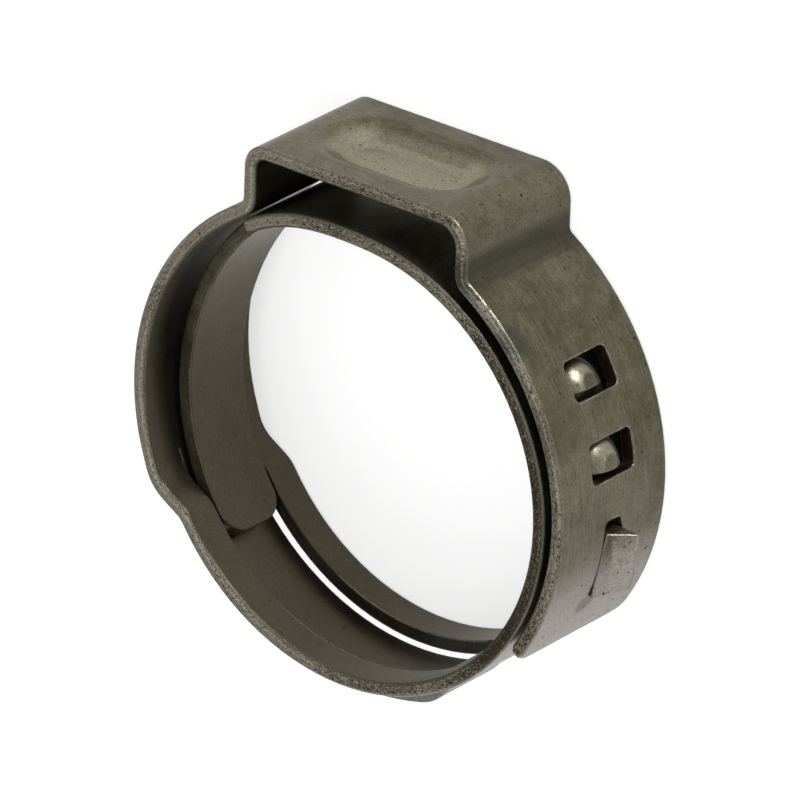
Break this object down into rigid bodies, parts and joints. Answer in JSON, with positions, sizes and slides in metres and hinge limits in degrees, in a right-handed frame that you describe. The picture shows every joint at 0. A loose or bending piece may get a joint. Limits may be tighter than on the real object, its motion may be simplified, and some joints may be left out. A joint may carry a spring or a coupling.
{
  "type": "single-ear hose clamp",
  "caption": "Stepless ear hose clamp rolled from one flat stainless strip, with an overlapped tongue, hooked windows and a dimpled ear to crimp over a hose.",
  "frame": {"origin": "on the bore axis, in the plane of the rim that the clamp lies on", "axes": "+Z along the bore axis from one rim to the other, +Y through the middle of the ear, +X towards the windows side"},
  "size_m": [0.0233, 0.0235, 0.007],
  "materials": {
    "stainless_strip": "cold-rolled stainless strip, dull warm grey, darker in the bore, with specks of dirt and lighter sheared edges"
  },
  "bodies": {
    "root": {"clamp_band": "stainless_strip"}
  },
  "joints": []
}
